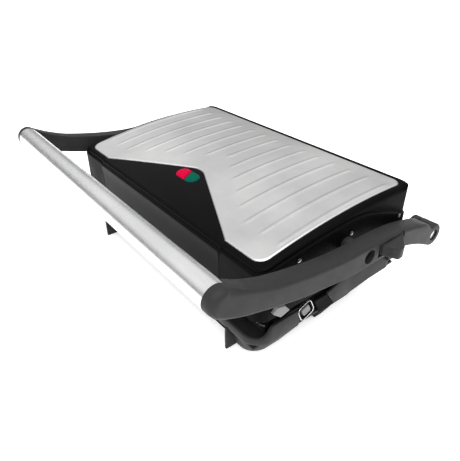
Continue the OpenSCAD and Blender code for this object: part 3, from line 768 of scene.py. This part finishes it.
def make_base():
    wall = piece("base_rim", *wall_skin(), "grey_plastic", "base", ["base_shell"], 38)
    leg_cut = prism_x([(-26.6, WALL_Z + 1), (-12.4, WALL_Z + 1), (-2.8, 26), (4.2, -1), (-4.2, -1)], 105, 140)
    window = latch_place(box(-9, 9, -7.55, 7.55, -5.55, 5.55))
    web = box(130, 140, -29.2, -21, 29.5, WALL_Z + 1)
    toe = box(102.8, 117.5, -90, -76, -1, TROUGH_Z - 2)
    tray_path = box(-100.35, 100.35, -90, -45, -1, TROUGH_Z - 2)
    inlet = box(-16, 16, 70, 80, 28, 35)
    carve(wall, leg_cut, mirrored(leg_cut), window, web, toe, mirrored(toe), tray_path, inlet)
    finish_edges(wall, 38, 0)

    low = [(9, 23), (17, 26.3), (40, 28.6), (73, 29.1)]
    high = [(y, z + 1.9) for y, z in reversed(low)]
    shelf = merge(prism_x(low + high, 128.5, 134), prism_x([(9, 23), (73, 23)] + high, 126.6, 128.6))
    deck = [shelf, mirrored(shelf), box(-128.3, -110, -62, 73.6, 23, 25), box(110, 128.3, -62, 73.6, 23, 25),
            box(-132.8, -128, -62, 9, 23, 25), box(128, 132.8, -62, 9, 23, 25),
            box(-110, 110, -62, -31, 23, 25), box(-110, 110, 54, 73.6, 23, 25),
            box(-129.5, 129.5, -79.6, -60.5, TROUGH_Z - 2, TROUGH_Z),
            box(-129, 129, -63, -60.5, TROUGH_Z - 2, 25)]
    piece("base_deck", *merge(*deck), "grey_plastic", "base", (), 30, 0.2, 2)

    legs = []
    for s in (1, -1):
        heel = loft([[(102, -75.9, 19), (118.2, -75.9, 19), (118.2, -71, 19), (102, -71, 19)],
                     [(102, -72.2, 0.1), (108, -72.2, 0.1), (108, -69, 0.1), (102, -69, 0.1)]])
        legs.append(heel if s > 0 else mirrored(heel))
        part = prism_x([(-82.2, 21.4), (-82.2, 0.1), (-47.1, 0.1), (-47.1, 21.4)], 100.3, 102.6)
        rail = box(97.3, 100.5, -79.8, -47.2, 11.3, 13.1)
        legs += [part, rail] if s > 0 else [mirrored(part), mirrored(rail)]
    piece("leg_plates", *merge(*legs), "grey_plastic", "base", (), 30, 0.5, 3)

    ears = []
    for s in (1, -1):
        profile = [(HINGE_Y + (EYE_R - 0.1) * math.cos(math.radians(a)),
                    HINGE_Z + (EYE_R - 0.1) * math.sin(math.radians(a))) for a in steps(140, -70, 30)]
        profile += [(77, 51.1), (69.4, 49.6), (69.4, 41.2), (64.6, 41.2), (60.7, 43.9), (60.7, 50), (68, 58)]
        part = prism_x(profile, 136.3, 142.2)
        foot = box(129.2, 137.4, 60.1, 69.4, 38.1, 42.5)
        ears += [part, foot] if s > 0 else [mirrored(part), mirrored(foot)]
    piece("hinge_ears", *merge(*ears), "grey_plastic", "base", (), 30, 0.7, 3)


def make_under():
    """The black cover under the heater, with the middle legs and the blocks of the rear feet."""
    parts = [prism_z(outline(112, -33, 56, 8, [0, 1], [0, 1], 8), 8, 21.5),
             prism_z(outline(116, -35.5, 60, 8, [0, 1], [0, 1], 8), 21, 22.95)]
    piece("under_cover", *merge(*parts), "rubber", "base", ["bottom_cover"], 30, 0.5, 2)

    def section(z, x0, x1):
        front, rear = lerp(-4, -25.8, z / 39), lerp(4, -3, z / 26) if z < 26 else lerp(-3, -12, (z - 26) / 13)
        return [(x0, front, z), (x1, front, z), (x1, rear, z), (x0, rear, z)]

    legs = []
    for s in (1, -1):
        low = loft([section(0, 111, 120), section(22.9, 111, 133.7)])
        high = loft([section(22.5, 132.6, 133.5), section(25, 132.6, 134.95), section(26, 132.6, 134.95),
                     section(38.9, 132.6, 134.95)])
        block = box(100.1, 111.8, 40.1, 51.9, 3, 12)
        legs += [low, high, block] if s > 0 else [mirrored(low), mirrored(high), mirrored(block)]
    piece("middle_legs", *merge(*legs), "rubber", "base", (), 30, 0.5, 2)


def turned(u, v, angle):
    return u * math.cos(angle) - v * math.sin(angle), u * math.sin(angle) + v * math.cos(angle)


def latch_place(part):
    """Turns a part of the latch in its own plane, leans it back and moves it to the right wall."""
    verts, faces = part
    out = []
    for x, y, z in verts:
        y, z = turned(y, z, LATCH_TILT)
        x, z = turned(x, z, LATCH_LEAN)
        out.append((HALF_W - 1.2 + x, LATCH_Y + y, LATCH_Z + z))
    return out, faces


def ring_yz(half_y, half_z, r, inner, profile):
    """A rounded rectangular ring facing +X. profile gives (x, fraction from outer to inner edge)."""
    def corners(hy, hz, rr):
        pts = []
        for cy, cz, a0 in ((hy - rr, hz - rr, 0), (-hy + rr, hz - rr, 90), (-hy + rr, -hz + rr, 180),
                           (hy - rr, -hz + rr, 270)):
            pts += [(cy + rr * math.cos(math.radians(a)), cz + rr * math.sin(math.radians(a)))
                    for a in steps(a0, a0 + 90, 8)]
        return pts
    rows = []
    for x, f in profile:
        ring = corners(half_y - inner * f, half_z - inner * f, max(r - inner * f, 0.6))
        rows.append([(x, y, z) for y, z in ring])
    rows.append(rows[0])
    return loft(rows, cap_start=False, cap_end=False)


def make_latch():
    rim = ring_yz(7.45, 5.45, 3.4, 0.75,
                  [(-1.4, 0), (0.9, 0), (1.3, 0.2), (1.4, 0.5), (1.3, 0.8), (0.9, 1), (-1.4, 1)])
    piece("latch_rim", *latch_place(rim), "pin_steel", "base", ["latch_bezel"], 50)
    well = ring_yz(6.75, 4.75, 2.7, 1.2, [(-1.3, 0), (0.9, 0), (0.95, 1), (-1.3, 1)])
    piece("latch_well", *latch_place(well), "rubber", "base", (), 50)
    cap = prism_x([(-4.0, -1.8), (-3.0, -2.7), (3.0, -2.7), (4.0, -1.8), (4.0, 1.8), (3.0, 2.7), (-3.0, 2.7),
                   (-4.0, 1.8)], -2.7, 1.5)
    cap = ([(x, y, z + 0.2) for x, y, z in cap[0]], cap[1])
    piece("latch_key", *latch_place(cap), "light_grey_plastic", "latch", ["latch_slide"], 30, 0.5, 3)
    nose = box(130.5, 132.0, -59.3, -31, 33.3, 35.6)
    piece("latch_nose", *nose, "grey_plastic", "latch", (), 30, 0.3, 2)


def make_plate_edge():
    """The lower plate's bare front edge."""
    straight, r = 117.9, 8.3

    def strip(x):
        over = max(abs(x) - straight, 0)
        y = -57.9 - math.sqrt(r * r - over * over)
        return [(x, y, 27.4), (x, y, 29.4), (x * 0.994, y + 1, 29.4), (x * 0.994, y + 1, 27.4)]

    curve = [straight + r * math.sin(math.radians(a)) for a in steps(0, 80, 8)]
    xs = [-x for x in reversed(curve)] + curve
    piece("lower_plate_edge", *loft([strip(x) for x in xs]), "reflector", "base", (), 30, 0.15, 2)


make_base()
make_plate_edge()
make_under()
make_latch()

# ---------------------------------------------------------------- stage, light and camera

bpy.ops.mesh.primitive_plane_add(size=60, location=(0, 0, 0))
floor = bpy.context.object
floor.name = "floor"
m, nodes, links, shader = new_material("floor")
shader.inputs["Base Color"].default_value = (0.9, 0.9, 0.9, 1)
shader.inputs["Roughness"].default_value = 0.9
shader.inputs["Specular IOR Level"].default_value = 0.1
shader.inputs["Emission Color"].default_value = (1, 1, 1, 1)
shader.inputs["Emission Strength"].default_value = 0.5
floor.data.materials.append(m)

# Brightness of the studio by height above the horizon, as the sine of the elevation.
SKY = [(0.02, 0.25), (0.25, 0.35), (0.42, 0.8), (0.55, 1.0), (0.98, 0.85)]
world = bpy.data.worlds.new("studio")
bpy.context.scene.world = world
world.use_nodes = True
sky, sky_links = world.node_tree.nodes, world.node_tree.links
where = sky.new("ShaderNodeTexCoord")
split = sky.new("ShaderNodeSeparateXYZ")
sky_links.new(where.outputs["Generated"], split.inputs["Vector"])
band = sky.new("ShaderNodeValToRGB")
band.color_ramp.interpolation = "EASE"
for place_at, grey in SKY:
    stop = band.color_ramp.elements.new(place_at)
    stop.color = (grey, grey, grey, 1)
band.color_ramp.elements.remove(band.color_ramp.elements[-1])
band.color_ramp.elements.remove(band.color_ramp.elements[0])
sky_links.new(split.outputs["Z"], band.inputs["Fac"])
sky_links.new(band.outputs["Color"], sky["Background"].inputs["Color"])
sky["Background"].inputs["Strength"].default_value = 1.0


def area_light(name, where, target, size, power):
    data = bpy.data.lights.new(name, "AREA")
    data.energy = power
    data.size = size
    obj = bpy.data.objects.new(name, data)
    bpy.context.collection.objects.link(obj)
    obj.location = where
    obj.rotation_euler = (Vector(target) - Vector(where)).to_track_quat("-Z", "Y").to_euler()


sun = bpy.data.lights.new("soft_sun", "SUN")
sun.energy = 2.6
sun.angle = math.radians(70)
sun_obj = bpy.data.objects.new("soft_sun", sun)
bpy.context.collection.objects.link(sun_obj)
sun_obj.rotation_euler = (math.radians(12), math.radians(14), 0)
area_light("key", (1.6, -1.2, 1.8), (0, 0, 0.05), 1.4, 9)

cam_data = bpy.data.cameras.new("camera")
cam = bpy.data.objects.new("camera", cam_data)
bpy.context.collection.objects.link(cam)
azimuth, pitch = math.radians(51.70), math.radians(32.155)
level = math.cos(pitch)
forward = Vector((-math.sin(azimuth) * level, math.cos(azimuth) * level, -math.sin(pitch)))
cam.location = place((293.87, -229.83, 258.33))
cam.rotation_mode = "QUATERNION"
cam.rotation_quaternion = forward.to_track_quat("-Z", "Y")
cam_data.sensor_width = 36
cam_data.lens = 35.25
cam_data.clip_start = 0.01
bpy.context.scene.camera = cam
bpy.context.scene.view_settings.view_transform = "Standard"
